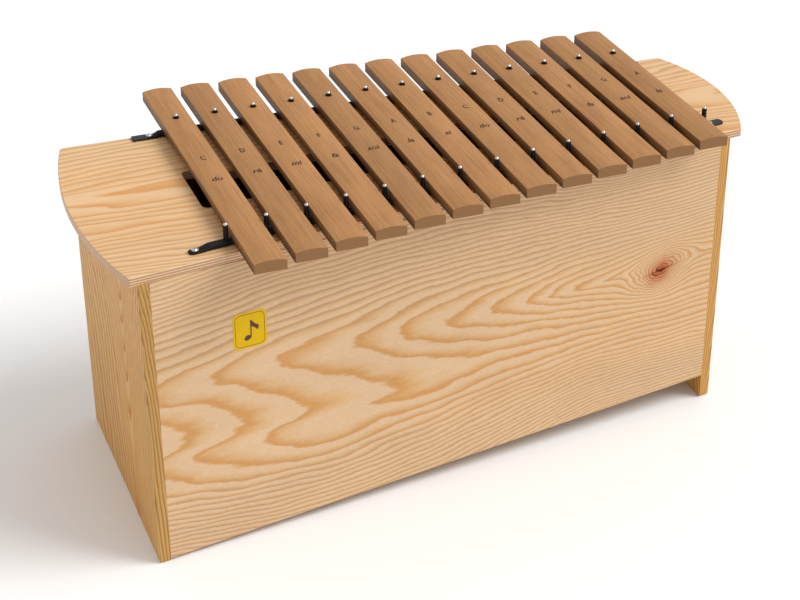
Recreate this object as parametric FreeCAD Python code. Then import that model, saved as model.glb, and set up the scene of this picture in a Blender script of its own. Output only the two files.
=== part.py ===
"""Bass xylophone: a tapered resonator box, two padded rails and thirteen lift-off bars.

Layout axes: X runs along the box from the low end to the high end, Y runs from the
player to the back, Z is up from the floor. X = 0 is the outer face of the left end
panel and Y = 0 is its front corner; every piece is moved by CENTRE when it is saved,
so that the origin ends up on the floor below the middle of the instrument.
"""
import FreeCAD, Part
import math
import os

from FreeCAD import Vector

os.makedirs("parts", exist_ok=True)

# --- resonator box (millimetres) -------------------------------------------
BODY_LENGTH = 900.0        # over the outer faces of the end panels
BODY_HEIGHT = 436.0        # floor to the underside of the top board
END_PANEL = 16.0           # thickness of the end panels
LONG_PANEL = 12.0          # thickness of the front and back panels
LEFT_DEPTH = 386.0         # depth of the box at the low end
FRONT_SLOPE = 0.12         # the front face runs back towards the high end
BACK_SLOPE = -0.018        # the back face runs forward a little
FOOT_LEFT = 4.5            # gap under the long panels at the low end
FOOT_RIGHT = 39.5          # and at the high end
FOOT_ROUNDING = 4.0        # rounded lower corners of the end panels
ARRIS = 1.5                # softened outer edges of the end panels and the board
BOTTOM_THICKNESS = 8.0
PARTITION = 5.0
CLEAT = 16.0               # square batten glued under the board, front and back
DOWEL_RADIUS = 3.0
DOWEL_IN_END = 10.0
DOWEL_IN_LONG = 20.0
DOWEL_HEIGHTS = (90.0, 230.0, 370.0)

# --- top board ---------------------------------------------------------------
BOARD_THICKNESS = 13.0
BOARD_LEFT = -10.8         # where the bowed left end meets the front and back edges
BOARD_RIGHT_FRONT = 918.0  # and the same for the right end
BOARD_RIGHT_BACK = 925.5
FRONT_SETBACK = 1.0        # the board's front edge lies just behind the front face
BACK_OVERHANG = 15.4
LEFT_BOW = 30.2            # how far the ends bow outwards as grips
RIGHT_BOW = 33.0
FRONT_CORNER = 3.0
BACK_CORNER = 9.0
SLOT_WIDTH = 44.0
SLOT_LENGTH = 92.0
FIRST_SLOT_LENGTH = 118.0  # the lowest note has the longest slot
SLOT_SHIFT = -6.8          # the slots sit a little left of the bars' centre lines
SLOT_FRONT = 149.0         # front end of the first slot
SLOT_FRONT_SLOPE = 0.09
SLOT_CORNER = 9.0

# --- bars ----------------------------------------------------------------------
NOTES = "CDEFGABCDEFGA"
FIRST_BAR_X = 157.0
BAR_PITCH = 57.0
BAR_WIDTH = 43.6
BAR_EDGE = 13.6            # thickness at the long edges
BAR_CROWN = 3.0            # extra height along the middle
BAR_ROUNDING = 0.8
FIRST_NEAR_END = -61.0
LAST_NEAR_END = 54.0
FIRST_FAR_END = 500.0
LAST_FAR_END = 466.0
FIRST_ARCH_DEPTH = 5.5     # tuning cut in the underside
LAST_ARCH_DEPTH = 3.0
ARCH_SHARE = 0.52          # length of the tuning cut over the bar's length
BAR_HOLE_RADIUS = 5.0

# --- rails, pins and their sleeves -----------------------------------------------
RAIL_WIDTH = 11.0
RAIL_HEIGHT = 8.0
TAIL_WIDTH = 15.0          # the rail's ends are pressed flat and wide
TAIL_THICKNESS = 3.2
TAIL_CORNER = 5.0
RAIL_ROUNDING = 2.6
FRONT_ROW_LEFT = 41.5      # y of the first and last front pins
FRONT_ROW_RIGHT = 136.0
REAR_ROW_LEFT = 389.0      # y of the first and last rear pins
REAR_ROW_RIGHT = 374.0
PIN_RADIUS = 1.5
PIN_DEPTH = 10.0           # blind hole in the board
SLEEVE_RADIUS = 3.5
FRONT_SLEEVE = 29.0        # sleeve height above the board
REAR_SLEEVE = 28.2
HEAD_RADIUS = 2.9
HEAD_HEIGHT = 2.8
WASHER_RADIUS = 4.8
WASHER_THICKNESS = 0.8
SCREW_HEAD_RADIUS = 3.6
SCREW_HEAD_HEIGHT = 2.2
SCREW_RADIUS = 1.6
SCREW_LENGTH = 14.0        # shank length below the head
RECESS_WIDTH = 0.9
RECESS_LENGTH = 4.0
RECESS_DEPTH = 1.2

# --- label -------------------------------------------------------------------------
LABEL_X = 147.5
LABEL_Z = 331.0
LABEL_WIDTH = 48.0
LABEL_HEIGHT = 54.0
LABEL_THICKNESS = 0.3
LABEL_CORNER = 8.0

# --- worked out from the above ---------------------------------------------------------
BOARD_TOP = BODY_HEIGHT + BOARD_THICKNESS
BAR_BOTTOM = BOARD_TOP + RAIL_HEIGHT
BAR_COUNT = len(NOTES)
INNER_LEFT = END_PANEL
INNER_RIGHT = BODY_LENGTH - END_PANEL
CENTRE = Vector(457.0, 219.5, 0.0)
UP = Vector(0, 0, 1)
ALONG = Vector(1, 0, 0)
BACKWARD = Vector(0, 1, 0)


def front_y(x, inside=0.0):
    """Front face of the box at x, or a plane that far inside it."""
    return FRONT_SLOPE * x + inside


def back_y(x, inside=0.0):
    """Back face of the box at x, or a plane that far inside it."""
    return LEFT_DEPTH + BACK_SLOPE * x - inside


def under_z(x, above=0.0):
    """Lower edge of the long panels at x, which rises towards the high end."""
    share = (x - INNER_LEFT) / (INNER_RIGHT - INNER_LEFT)
    return FOOT_LEFT + share * (FOOT_RIGHT - FOOT_LEFT) + above


def between(first, last, index, count=BAR_COUNT):
    """Value at one bar when it changes evenly from the first bar to the last."""
    return first + (last - first) * index / (count - 1)


def bar_x(index):
    """Centre line of a bar; half numbers give the gaps between bars."""
    return FIRST_BAR_X + BAR_PITCH * index


def polygon_prism(points, direction):
    """Solid made by moving a closed polygon along a direction."""
    wire = Part.makePolygon(points + [points[0]])
    return Part.Face(wire).extrude(direction)


def plan_prism(points, low, high):
    """Upright solid on an (x, y) outline."""
    return polygon_prism([Vector(x, y, low) for x, y in points], UP * (high - low))


def elevation_prism(points):
    """Solid with an (x, z) outline, deep enough to pass through the whole box."""
    reach = 2 * LEFT_DEPTH
    return polygon_prism([Vector(x, -reach, z) for x, z in points], BACKWARD * (3 * reach))


def on_floor_slope(left, right, low, high):
    """Region between two heights above the sloping lower edge, or up to the board."""
    top_left = BODY_HEIGHT if high is None else under_z(left, high)
    top_right = BODY_HEIGHT if high is None else under_z(right, high)
    return elevation_prism([(left, under_z(left, low)), (right, under_z(right, low)),
                            (right, top_right), (left, top_left)])


def rounded(shape, radius, chosen):
    """Fillet the edges whose bounding box passes the test."""
    edges = [edge for edge in shape.Edges if chosen(edge.BoundBox)]
    return shape.makeFillet(radius, edges)


def dowel_axes():
    """Start points of the dowels that join the long panels to the end panels."""
    axes = []
    for end_x in (INNER_LEFT - DOWEL_IN_END, INNER_RIGHT - DOWEL_IN_LONG):
        middle = end_x + (DOWEL_IN_END + DOWEL_IN_LONG) / 2
        for y in (front_y(middle, LONG_PANEL / 2), back_y(middle, LONG_PANEL / 2)):
            axes += [Vector(end_x, y, z) for z in DOWEL_HEIGHTS]
    return axes


def panel_dowels():
    length = DOWEL_IN_END + DOWEL_IN_LONG
    return Part.Compound([Part.makeCylinder(DOWEL_RADIUS, length, start, ALONG)
                          for start in dowel_axes()])


def end_panel(left, outer):
    """Upright end panel with rounded feet and softened edges on its outer face."""
    right = left + END_PANEL
    outline = [(left, front_y(left)), (right, front_y(right)), (right, back_y(right)), (left, back_y(left))]
    panel = plan_prism(outline, 0.0, BODY_HEIGHT)
    panel = rounded(panel, FOOT_ROUNDING,
                    lambda box: box.ZMax < 1.0 and box.XLength > END_PANEL - 1.0 and box.YLength < 5.0)
    return rounded(panel, ARRIS, lambda box: abs(box.Center.x - outer) < 0.1 and box.XLength < 0.1
                   and box.ZLength > BODY_HEIGHT / 2)


def long_panel(face_y, inside_y):
    """Front or back panel between the end panels, with the sloping lower edge."""
    outline = [(INNER_LEFT, face_y(INNER_LEFT)), (INNER_RIGHT, face_y(INNER_RIGHT)),
               (INNER_RIGHT, inside_y(INNER_RIGHT, LONG_PANEL)), (INNER_LEFT, inside_y(INNER_LEFT, LONG_PANEL))]
    panel = plan_prism(outline, 0.0, BODY_HEIGHT)
    return panel.common(on_floor_slope(INNER_LEFT, INNER_RIGHT, 0.0, None))


def inside_plan(left, right):
    """Plan of the space between the long panels from one x to another."""
    return [(left, front_y(left, LONG_PANEL)), (right, front_y(right, LONG_PANEL)),
            (right, back_y(right, LONG_PANEL)), (left, back_y(left, LONG_PANEL))]


def bottom_panel():
    block = plan_prism(inside_plan(INNER_LEFT, INNER_RIGHT), 0.0, BODY_HEIGHT)
    return block.common(on_floor_slope(INNER_LEFT, INNER_RIGHT, 0.0, BOTTOM_THICKNESS))


def cleat(side_y, sign):
    """Batten under the board's edge, along the inside of a long panel."""
    near = [(x, side_y(x, LONG_PANEL)) for x in (INNER_LEFT, INNER_RIGHT)]
    far = [(x, y + sign * CLEAT) for x, y in reversed(near)]
    return plan_prism(near + far, BODY_HEIGHT - CLEAT, BODY_HEIGHT)


def partition(index, cleats):
    """Wall between two chambers, standing under the web between their slots."""
    middle = bar_x(index) + SLOT_SHIFT + BAR_PITCH / 2
    left = middle - PARTITION / 2
    right = middle + PARTITION / 2
    wall = plan_prism(inside_plan(left, right), 0.0, BODY_HEIGHT)
    wall = wall.common(on_floor_slope(left, right, BOTTOM_THICKNESS, None))
    return wall.cut(cleats)


def bowed_outline():
    """Outline of the top board: straight front and back, ends bowed outwards."""
    front_left = Vector(BOARD_LEFT, front_y(BOARD_LEFT, FRONT_SETBACK), BODY_HEIGHT)
    front_right = Vector(BOARD_RIGHT_FRONT, front_y(BOARD_RIGHT_FRONT, FRONT_SETBACK), BODY_HEIGHT)
    back_right = Vector(BOARD_RIGHT_BACK, back_y(BOARD_RIGHT_BACK, -BACK_OVERHANG), BODY_HEIGHT)
    back_left = Vector(BOARD_LEFT, back_y(BOARD_LEFT, -BACK_OVERHANG), BODY_HEIGHT)
    left_middle = (front_left + back_left) * 0.5 - ALONG * LEFT_BOW
    right_middle = (front_right + back_right) * 0.5 + ALONG * RIGHT_BOW
    return Part.Wire([
        Part.makeLine(front_left, front_right),
        Part.Arc(front_right, right_middle, back_right).toShape(),
        Part.makeLine(back_right, back_left),
        Part.Arc(back_left, left_middle, front_left).toShape(),
    ])


def slot(index):
    """Cutter for the sound slot under one bar, with rounded corners."""
    left = bar_x(index) + SLOT_SHIFT - SLOT_WIDTH / 2
    front = SLOT_FRONT + SLOT_FRONT_SLOPE * BAR_PITCH * index
    length = FIRST_SLOT_LENGTH if index == 0 else SLOT_LENGTH
    block = Part.makeBox(SLOT_WIDTH, length, BOARD_THICKNESS, Vector(left, front, BODY_HEIGHT))
    return rounded(block, SLOT_CORNER, upright)


def upright(box):
    """True for a vertical edge as tall as the board."""
    return box.ZLength > BOARD_THICKNESS - 0.1 and box.XLength < 0.1 and box.YLength < 0.1


def top_board():
    board = Part.Face(bowed_outline()).extrude(UP * BOARD_THICKNESS)
    board = rounded(board, BACK_CORNER, lambda box: upright(box) and box.YMin > LEFT_DEPTH / 2)
    board = rounded(board, FRONT_CORNER, lambda box: upright(box) and box.YMax < LEFT_DEPTH / 2)
    board = rounded(board, ARRIS, lambda box: box.ZLength < 0.1)
    for index in range(BAR_COUNT):
        board = board.cut(slot(index))
    holes = [Part.makeCylinder(PIN_RADIUS, PIN_DEPTH, Vector(x, y, BOARD_TOP - PIN_DEPTH))
             for x, y in front_row() + rear_row()]
    depth = SCREW_LENGTH - TAIL_THICKNESS - WASHER_THICKNESS
    holes += [Part.makeCylinder(SCREW_RADIUS, depth, Vector(x, y, BOARD_TOP - depth))
              for x, y in screw_points()]
    return board.cut(Part.Compound(holes))


def front_row():
    """Front pins, one in every gap and one outside each end bar."""
    count = BAR_COUNT + 1
    return [(bar_x(i - 0.5), between(FRONT_ROW_LEFT, FRONT_ROW_RIGHT, i, count)) for i in range(count)]


def rear_row():
    """Rear pins, one through the hole in every bar."""
    return [(bar_x(i), between(REAR_ROW_LEFT, REAR_ROW_RIGHT, i)) for i in range(BAR_COUNT)]


class Rail:
    """Straight padded rail: where it runs, where its screws are and how long its tails are."""

    def __init__(self, row, screws_x, tails, ramps):
        (x0, y0), (x1, y1) = row[0], row[-1]
        self.row = row
        self.angle = math.degrees(math.atan2(y1 - y0, x1 - x0))
        self.slope = (y1 - y0) / (x1 - x0)
        self.start = Vector(x0, y0, BOARD_TOP)
        self.screws_x = screws_x
        self.tails = tails
        self.ramps = ramps

    def station(self, x):
        """Distance along the rail from its first pin to the point at x."""
        return (x - self.start.x) * math.hypot(1.0, self.slope)

    def screw_points(self):
        return [(x, self.start.y + self.slope * (x - self.start.x)) for x in self.screws_x]

    def solid(self):
        """Rounded run between two flattened ends, which are a side view crossed with a plan."""
        near, far = (self.station(x) for x in self.screws_x)
        flat = WASHER_RADIUS + 0.6
        tips = (near - self.tails[0], far + self.tails[1])
        full = (near + flat + self.ramps[0], far - flat - self.ramps[1])
        side = polygon_prism([
            Vector(tips[0], -TAIL_WIDTH, 0), Vector(tips[1], -TAIL_WIDTH, 0),
            Vector(tips[1], -TAIL_WIDTH, TAIL_THICKNESS), Vector(far - flat, -TAIL_WIDTH, TAIL_THICKNESS),
            Vector(full[1], -TAIL_WIDTH, RAIL_HEIGHT), Vector(full[0], -TAIL_WIDTH, RAIL_HEIGHT),
            Vector(near + flat, -TAIL_WIDTH, TAIL_THICKNESS), Vector(tips[0], -TAIL_WIDTH, TAIL_THICKNESS),
        ], BACKWARD * (2 * TAIL_WIDTH))
        half = RAIL_WIDTH / 2
        wide = TAIL_WIDTH / 2
        plan = plan_prism([
            (tips[0], -wide), (near + flat, -wide), (full[0], -half), (full[1], -half),
            (far - flat, -wide), (tips[1], -wide), (tips[1], wide), (far - flat, wide),
            (full[1], half), (full[0], half), (near + flat, wide), (tips[0], wide),
        ], 0.0, RAIL_HEIGHT)
        plan = rounded(plan, TAIL_CORNER, lambda box: box.ZLength > RAIL_HEIGHT - 1.0
                       and (box.XMax < tips[0] + 1.0 or box.XMin > tips[1] - 1.0))
        run = Part.makeBox(full[1] - full[0], RAIL_WIDTH, RAIL_HEIGHT, Vector(full[0], -half, 0))
        ends = plan.common(side).cut(run)
        run = rounded(run, RAIL_ROUNDING, lambda box: box.ZMin > RAIL_HEIGHT - 0.1
                      and box.XLength > BODY_LENGTH / 2)
        rail = run.fuse(ends).removeSplitter()
        for x, y in self.row:
            rail = rail.cut(Part.makeCylinder(SLEEVE_RADIUS, RAIL_HEIGHT, Vector(self.station(x), 0, 0)))
        for x in self.screws_x:
            rail = rail.cut(Part.makeCylinder(SCREW_RADIUS, RAIL_HEIGHT, Vector(self.station(x), 0, 0)))
        rail.rotate(Vector(0, 0, 0), UP, self.angle)
        rail.translate(self.start)
        return rail


FRONT_RAIL = Rail(front_row(), screws_x=(85.5, 879.5), tails=(9.5, 22.0), ramps=(22.0, 8.0))
REAR_RAIL = Rail(rear_row(), screws_x=(116.0, 872.0), tails=(25.0, 12.0), ramps=(10.0, 10.0))


def screw_points():
    return FRONT_RAIL.screw_points() + REAR_RAIL.screw_points()


def pin(x, y, sleeve):
    """Round pin standing in the board, with a domed head on top of its sleeve."""
    rod = Part.makeCylinder(PIN_RADIUS, PIN_DEPTH + sleeve, Vector(x, y, BOARD_TOP - PIN_DEPTH))
    dome_radius = (HEAD_RADIUS ** 2 + HEAD_HEIGHT ** 2) / (2 * HEAD_HEIGHT)
    base = Vector(x, y, BOARD_TOP + sleeve)
    dome = Part.makeSphere(dome_radius, base + UP * (HEAD_HEIGHT - dome_radius))
    head = dome.common(Part.makeCylinder(HEAD_RADIUS, HEAD_HEIGHT, base))
    return rod.fuse(head).removeSplitter()


def pins(row, sleeve):
    return Part.Compound([pin(x, y, sleeve) for x, y in row])


def pin_sleeves(row, height):
    """Soft tubes round the pins, down through the rail to the board."""
    sleeves = []
    for x, y in row:
        foot = Vector(x, y, BOARD_TOP)
        tube = Part.makeCylinder(SLEEVE_RADIUS, height, foot)
        sleeves.append(tube.cut(Part.makeCylinder(PIN_RADIUS, height, foot)))
    return Part.Compound(sleeves)


def rail_washers():
    washers = []
    for x, y in screw_points():
        foot = Vector(x, y, BOARD_TOP + TAIL_THICKNESS)
        disc = Part.makeCylinder(WASHER_RADIUS, WASHER_THICKNESS, foot)
        washers.append(disc.cut(Part.makeCylinder(SCREW_RADIUS, WASHER_THICKNESS, foot)))
    return Part.Compound(washers)


def rail_screws():
    """Round-headed wood screws with a cross recess."""
    screws = []
    for x, y in screw_points():
        seat = Vector(x, y, BOARD_TOP + TAIL_THICKNESS + WASHER_THICKNESS)
        dome_radius = (SCREW_HEAD_RADIUS ** 2 + SCREW_HEAD_HEIGHT ** 2) / (2 * SCREW_HEAD_HEIGHT)
        dome = Part.makeSphere(dome_radius, seat + UP * (SCREW_HEAD_HEIGHT - dome_radius))
        head = dome.common(Part.makeCylinder(SCREW_HEAD_RADIUS, SCREW_HEAD_HEIGHT, seat))
        shank = Part.makeCylinder(SCREW_RADIUS, SCREW_LENGTH, seat - UP * SCREW_LENGTH)
        screw = head.fuse(shank)
        for length_x, length_y in ((RECESS_LENGTH, RECESS_WIDTH), (RECESS_WIDTH, RECESS_LENGTH)):
            corner = seat + Vector(-length_x / 2, -length_y / 2, SCREW_HEAD_HEIGHT - RECESS_DEPTH)
            screw = screw.cut(Part.makeBox(length_x, length_y, RECESS_DEPTH, corner))
        screws.append(screw)
    return Part.Compound(screws)


def bar_section(y):
    """Cross-section of a bar at its near end: flat underside and a crowned top."""
    half = BAR_WIDTH / 2
    shoulder = BAR_BOTTOM + BAR_EDGE
    lower_left = Vector(-half, y, BAR_BOTTOM)
    lower_right = Vector(half, y, BAR_BOTTOM)
    upper_left = Vector(-half, y, shoulder)
    upper_right = Vector(half, y, shoulder)
    crown = Vector(0, y, shoulder + BAR_CROWN)
    return Part.Wire([
        Part.makeLine(lower_left, lower_right), Part.makeLine(lower_right, upper_right),
        Part.Arc(upper_right, crown, upper_left).toShape(), Part.makeLine(upper_left, lower_left),
    ])


def bar(index):
    """One sound bar with its tuning cut underneath and the hole for its rear pin."""
    near = between(FIRST_NEAR_END, LAST_NEAR_END, index)
    length = between(FIRST_FAR_END, LAST_FAR_END, index) - near
    blank = Part.Face(bar_section(near)).extrude(BACKWARD * length)
    blank = rounded(blank, BAR_ROUNDING, lambda box: box.ZMax > BAR_BOTTOM + 1.0)
    depth = between(FIRST_ARCH_DEPTH, LAST_ARCH_DEPTH, index)
    half_span = ARCH_SHARE * length / 2
    arch_radius = (half_span ** 2 + depth ** 2) / (2 * depth)
    arch_centre = Vector(-BAR_WIDTH, near + length / 2, BAR_BOTTOM + depth - arch_radius)
    tuned = blank.cut(Part.makeCylinder(arch_radius, 2 * BAR_WIDTH, arch_centre, ALONG))
    tuned.translate(ALONG * bar_x(index))
    pin_x, pin_y = rear_row()[index]
    return tuned.cut(Part.makeCylinder(BAR_HOLE_RADIUS, 2 * BAR_EDGE, Vector(pin_x, pin_y, BAR_BOTTOM)))


def label():
    """Thin sticker lying on the sloping front face."""
    plate = Part.makeBox(LABEL_WIDTH, LABEL_THICKNESS, LABEL_HEIGHT,
                         Vector(-LABEL_WIDTH / 2, -LABEL_THICKNESS, -LABEL_HEIGHT / 2))
    plate = rounded(plate, LABEL_CORNER, lambda box: box.XLength < 0.01 and box.ZLength < 0.01)
    plate.rotate(Vector(0, 0, 0), UP, math.degrees(math.atan(FRONT_SLOPE)))
    plate.translate(Vector(LABEL_X, front_y(LABEL_X), LABEL_Z))
    return plate


def save(node, shape):
    placed = shape.copy()
    placed.translate(CENTRE * -1)
    placed.exportStep("parts/" + node + ".step")


def main():
    dowels = panel_dowels()
    save("panel_dowels", dowels)
    save("left_end_panel", end_panel(0.0, 0.0).cut(dowels))
    save("right_end_panel", end_panel(INNER_RIGHT, BODY_LENGTH).cut(dowels))
    save("front_panel", long_panel(front_y, front_y).cut(dowels))
    save("back_panel", long_panel(back_y, back_y).cut(dowels))
    save("bottom_panel", bottom_panel())
    front_cleat = cleat(front_y, 1.0)
    back_cleat = cleat(back_y, -1.0)
    save("front_cleat", front_cleat)
    save("back_cleat", back_cleat)
    for index in range(BAR_COUNT - 1):
        save("chamber_partition_%02d" % (index + 1), partition(index, Part.Compound([front_cleat, back_cleat])))
    save("top_board", top_board())
    save("front_bar_rail", FRONT_RAIL.solid())
    save("rear_bar_rail", REAR_RAIL.solid())
    save("front_pins", pins(front_row(), FRONT_SLEEVE))
    save("rear_pins", pins(rear_row(), REAR_SLEEVE))
    save("front_pin_sleeves", pin_sleeves(front_row(), FRONT_SLEEVE))
    save("rear_pin_sleeves", pin_sleeves(rear_row(), REAR_SLEEVE))
    save("rail_washers", rail_washers())
    save("rail_screws", rail_screws())
    for index, note in enumerate(NOTES):
        save("bar_%02d_%s" % (index + 1, note.lower()), bar(index))
    save("front_label", label())


main()
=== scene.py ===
"""Looks of a bass xylophone: lacquered pine resonator box, waxed bars on braided rails.

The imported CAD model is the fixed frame. The script gives its solids their finishes, lays
braided rails, rubber sleeves, burned note names and a printed label on them, and sets a
plain studio round the instrument. Lengths are metres; patterns are worked out in millimetres.
"""

import math
from functools import partial

import bmesh
import bpy
from bpy.props import FloatProperty, FloatVectorProperty, IntProperty, PointerProperty
from mathutils import Matrix, Vector


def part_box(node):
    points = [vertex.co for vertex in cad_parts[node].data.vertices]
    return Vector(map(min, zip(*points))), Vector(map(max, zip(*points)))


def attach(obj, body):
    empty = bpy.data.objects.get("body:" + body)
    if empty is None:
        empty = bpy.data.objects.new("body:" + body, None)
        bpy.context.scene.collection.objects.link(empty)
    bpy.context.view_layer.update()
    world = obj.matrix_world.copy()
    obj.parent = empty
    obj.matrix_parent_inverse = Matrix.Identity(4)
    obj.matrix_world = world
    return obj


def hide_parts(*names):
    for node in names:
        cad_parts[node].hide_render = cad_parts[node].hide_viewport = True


bl_info = {
    "name": "Bass xylophone finishes",
    "version": (1, 0, 0),
    "blender": (4, 5, 0),
    "location": "3D View > Sidebar > Xylophone",
    "description": "Finishes, rails, note names and studio for a bass xylophone",
    "category": "Object",
}

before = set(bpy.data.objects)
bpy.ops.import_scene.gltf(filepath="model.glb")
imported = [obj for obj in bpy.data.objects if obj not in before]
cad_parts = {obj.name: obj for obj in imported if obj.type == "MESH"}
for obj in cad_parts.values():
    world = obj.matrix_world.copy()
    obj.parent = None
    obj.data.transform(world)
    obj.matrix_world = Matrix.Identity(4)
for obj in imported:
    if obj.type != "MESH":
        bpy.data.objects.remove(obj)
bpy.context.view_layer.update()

MM = 0.001
BOX_BODY = "resonator_box"
BAR_NODES = sorted(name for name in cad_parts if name.startswith("bar_"))
PARTITION_NODES = sorted(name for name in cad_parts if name.startswith("chamber_partition_"))
SYLLABLES = {"c": "do", "d": "ré", "e": "mi", "f": "fa", "g": "sol", "a": "la", "b": "si"}
BOARD_LOW, BOARD_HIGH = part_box("top_board")
FRONT_LOW, FRONT_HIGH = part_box("front_panel")
FRONT_THICKNESS = 0.012
CROWN = 0.003              # height of a bar's crown over its shoulders


# --- colours and nodes ---

def linear(hex_colour):
    """Linear red, green and blue of an sRGB hex colour."""
    channels = [int(hex_colour[i:i + 2], 16) / 255 for i in (1, 3, 5)]
    return tuple(c / 12.92 if c <= 0.04045 else ((c + 0.055) / 1.055) ** 2.4 for c in channels)


def pick_socket(sockets, key):
    """A socket by its number, by its name with _ for each space, or by its identifier."""
    if isinstance(key, int):
        return sockets[key]
    name = key.replace("_", " ")
    return sockets[name] if name in sockets else next(s for s in sockets if s.identifier == key)


def add_node(tree, kind, *values, out=0, stops=(), points=(), **named):
    """Adds a node and gives back one of its outputs. The kind may end in an operation. Values go to
    the inputs in order and capitalised names to the inputs so called, each a constant or a socket
    to link; other names are settings. Stops are a colour ramp's, points a float curve's."""
    kind, _, operation = kind.partition(":")
    kinds = (family + kind for family in ("ShaderNode", "GeometryNode", "Node"))
    node = tree.nodes.new(next(kind for kind in kinds if hasattr(bpy.types, kind)))
    if operation:
        node.operation = operation
    for name in [name for name in named if name[0].islower()]:
        setattr(node, name, named.pop(name))
    for key, value in [*enumerate(values), *named.items()]:
        socket = pick_socket(node.inputs, key)
        if isinstance(value, bpy.types.NodeSocket):
            tree.links.new(value, socket)
        else:
            socket.default_value = value
    for index, (place, colour) in enumerate(stops):
        elements = node.color_ramp.elements
        element = elements[index] if index < 2 else elements.new(place)
        element.position = place
        element.color = (*colour, 1.0)
    if points:
        curve = node.mapping.curves[0]
        curve.points[0].location = points[0]
        curve.points[1].location = points[-1]
        for point in points[1:-1]:
            curve.points.new(*point)
        node.mapping.update()
    return pick_socket(node.outputs, out) if node.outputs else None


def new_material(name, **shader_values):
    """A material with one Principled shader, whose sockets the values name, and what adds nodes to it."""
    material = bpy.data.materials.new(name)
    material.use_nodes = True
    shader = material.node_tree.nodes["Principled BSDF"]
    for socket, value in shader_values.items():
        shader.inputs[socket.replace("_", " ")].default_value = value
    return material, partial(add_node, material.node_tree)


def coat(material, links, relief=None, depth=0.0, strength=0.0):
    """Links sockets to a material's shader, and a relief so many millimetres deep to its normal."""
    tree = material.node_tree
    if relief:
        links["Normal"] = add_node(tree, "Bump", Height=relief, Distance=depth * MM, Strength=strength)
    for name, socket in links.items():
        tree.links.new(socket, tree.nodes["Principled BSDF"].inputs[name])
    return material


def millimetres(add):
    """The point on the piece, in millimetres of the shared frame."""
    return add("VectorMath:SCALE", add("TexCoord", out="Object"), Scale=1 / MM)


def even_noise(add, size, detail=2.0):
    """Noise with patches of a size in millimetres, alike every way."""
    return add("TexNoise", millimetres(add), Scale=1 / size, Detail=detail)


def fibre_noise(add, place, along, length, width, shift=0.0, detail=2.0):
    """Noise whose patches are length by width millimetres, the long way on the along axis."""
    stretch = [1 / width] * 3
    stretch["XYZ".index(along)] = 1 / length
    scaled = add("VectorMath:MULTIPLY", place, stretch)
    return add("TexNoise", add("VectorMath:ADD", scaled, (shift,) * 3), Scale=1.0, Detail=detail)


def mottled(add, colour, noise, spread, least):
    """A colour made lighter by a noise, from the least share of it up by the spread."""
    return add("VectorMath:SCALE", colour, Scale=add("Math:MULTIPLY_ADD", noise, spread, least))


def ring_profile(add, value, points):
    """Growth rings counted along a line, as a smooth curve through (millimetres, rings)."""
    low, high = points[0][0], points[-1][0]
    most = max(rings for _, rings in points)
    shares = [((place - low) / (high - low), rings / most) for place, rings in points]
    share = add("MapRange", value, From_Min=low, From_Max=high)
    return add("Math:MULTIPLY", add("FloatCurve", Value=share, points=shares), most)


def finish_node(name, material):
    """Gives a CAD node its material."""
    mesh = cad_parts[name].data
    mesh.materials.clear()
    mesh.materials.append(material)


def add_piece(name, mesh, body, replaces=()):
    """Links a finished mesh as a piece that rides on a body."""
    piece = bpy.data.objects.new(name, mesh)
    bpy.context.scene.collection.objects.link(piece)
    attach(piece, body)
    if replaces:
        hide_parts(*replaces)


def plain_mesh(holder):
    """Mesh of an object with its modifiers applied, or of its text; the object is removed."""
    bpy.context.scene.collection.objects.link(holder)
    depsgraph = bpy.context.evaluated_depsgraph_get()
    mesh = bpy.data.meshes.new_from_object(holder.evaluated_get(depsgraph))
    bpy.data.objects.remove(holder)
    return mesh


def grow(name, tree, sizes):
    """Plain mesh of a geometry tree with its named inputs set."""
    holder = bpy.data.objects.new(name + "_holder", bpy.data.meshes.new(name + "_holder"))
    modifier = holder.modifiers.new("Grow", "NODES")
    modifier.node_group = tree
    for item in tree.interface.items_tree:
        if item.item_type == "SOCKET" and item.in_out == "INPUT":
            modifier[item.identifier] = sizes[item.name]
    mesh = plain_mesh(holder)
    mesh.name = name
    if not mesh.polygons:
        raise RuntimeError(name + " came out empty")
    return mesh


def new_geometry_tree(name, **inputs):
    """Geometry tree whose named inputs are listed by kind, what adds nodes to it, and the inputs."""
    tree = bpy.data.node_groups.new(name, "GeometryNodeTree")
    tree.interface.new_socket("Geometry", in_out="OUTPUT", socket_type="NodeSocketGeometry")
    for kind, sizes in inputs.items():
        for size in sizes:
            tree.interface.new_socket(size, in_out="INPUT", socket_type="NodeSocket" + kind)
    add = partial(add_node, tree)
    return tree, add, add("GroupInput").node.outputs


def end_geometry_tree(add, geometry, material):
    """Ends a tree in real geometry with its material."""
    real = add("RealizeInstances", geometry)
    add("GroupOutput", add("SetMaterial", real, Material=material))


# --- pine ---

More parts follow.
